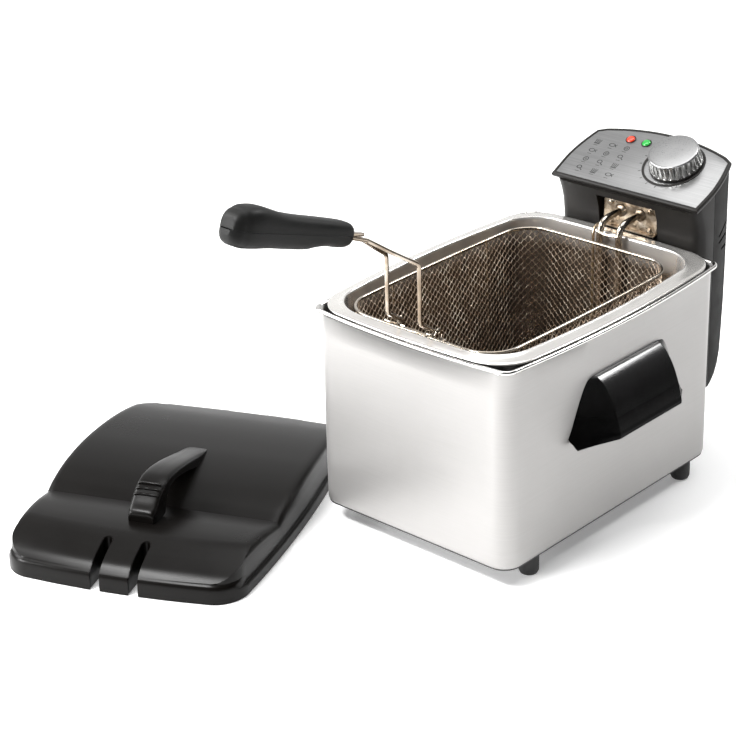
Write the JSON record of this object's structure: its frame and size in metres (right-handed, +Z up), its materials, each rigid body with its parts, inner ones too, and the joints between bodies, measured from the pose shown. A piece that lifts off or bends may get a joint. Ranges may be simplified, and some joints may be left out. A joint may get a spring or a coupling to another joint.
{
  "type": "deep fryer",
  "caption": "Rectangular deep fryer with lift-out oil bowl, docked control unit with immersion element, wire basket with fold-in handle, side handles, and a lid lying beside it.",
  "frame": {"origin": "on the floor the fryer stands on, below the middle of its rectangular housing", "axes": "+Z up, +X to the fryer's right as seen by someone facing its front, -Y to the front where the basket handle points; the control unit is at +Y"},
  "size_m": [0.507, 0.6269, 0.3786],
  "materials": {
    "brushed_housing": "fine brushed",
    "polished_steel": "polished",
    "black_steel": "satin paint",
    "foot_rubber": "matte",
    "screw_steel": "plain",
    "gloss_black": "gloss",
    "matte_black": "fine grain",
    "satin_black": "satin grain",
    "dark_grey": "fine grain",
    "panel_silver": "brushed and lacquered",
    "knob_silver": "metallised",
    "red_lens": "translucent",
    "green_lens": "translucent",
    "lamp_glass": "clear",
    "pale_plastic": "plain",
    "red_plastic": "plain",
    "sensor_metal": "drawn tube",
    "nickel_plate": "tarnished plating",
    "element_steel": "heat-tinted tube",
    "tinned_wire": "tinned wire"
  },
  "bodies": {
    "housing": {"outer_housing": "brushed_housing", "base_plate": "black_steel", "foot_front_left": "foot_rubber", "foot_front_right": "foot_rubber", "foot_rear_left": "foot_rubber", "foot_rear_right": "foot_rubber", "foot_screws": "screw_steel", "side_handle_left": "gloss_black", "side_handle_right": "gloss_black", "side_handle_screws": "screw_steel", "control_dock": "screw_steel", "dock_screws": "screw_steel"},
    "bowl": {"oil_bowl": "polished_steel"},
    "control_unit": {"control_front_shell": "matte_black", "control_rear_shell": "dark_grey", "shell_screws": "screw_steel", "panel_frame": "matte_black", "panel_plate": "panel_silver", "knob_ring": "matte_black", "red_lamp_lens": "red_lens", "green_lamp_lens": "green_lens", "neon_lamps": "lamp_glass", "thermostat_body": "pale_plastic", "thermostat_sensor": "sensor_metal", "sensor_clip": "screw_steel", "thermal_cutout": "dark_grey", "safety_switch": "matte_black", "terminal_block": "pale_plastic", "cord_gland": "foot_rubber", "element_flange": "nickel_plate", "flange_screws": "nickel_plate", "heating_element": "element_steel"},
    "thermostat_knob": {"knob": "knob_silver", "knob_spindle": "screw_steel"},
    "reset": {"reset_button": "red_plastic"},
    "basket": {"basket_mesh": "tinned_wire", "basket_rim_wire": "tinned_wire", "basket_frame_wires": "tinned_wire", "basket_bracket": "tinned_wire", "bracket_rivets": "screw_steel"},
    "basket_handle": {"handle_fork": "tinned_wire", "handle_grip_upper": "matte_black", "handle_grip_lower": "matte_black", "handle_screws": "screw_steel"},
    "lid": {"lid_shell": "satin_black", "lid_handle": "satin_black", "lid_handle_screws": "screw_steel"}
  },
  "joints": [
    {"name": "bowl_lift", "type": "slide", "parent": "housing", "child": "bowl", "axis": [0, 0, 1], "range_m": [0, 0.2]},
    {"name": "control_unit_lift", "type": "slide", "parent": "bowl", "child": "control_unit", "axis": [0, 0, 1], "range_m": [0, 0.2]},
    {"name": "basket_lift", "type": "slide", "parent": "control_unit", "child": "basket", "axis": [0, 0, 1], "range_m": [0, 0.18]},
    {"name": "handle_fold", "type": "hinge", "parent": "basket", "child": "basket_handle", "pos_m": [0, -0.134, 0.213], "axis": [-1, 0, 0], "range_deg": [0, 125]},
    {"name": "thermostat_turn", "type": "hinge", "parent": "control_unit", "child": "thermostat_knob", "pos_m": [0.0285, 0.19409, 0.26899], "axis": [0, -0.3956, 0.9184], "range_deg": [-250, 0]},
    {"name": "reset_press", "type": "slide", "parent": "control_unit", "child": "reset", "axis": [0, -1, 0], "range_m": [0, 0.0024], "stiffness_N_per_m": 300, "springref_m": -0.001},
    {"name": "lid_lift", "type": "slide", "parent": "housing", "child": "lid", "axis": [0, 0, 1], "range_m": [0, 0.3]}
  ]
}
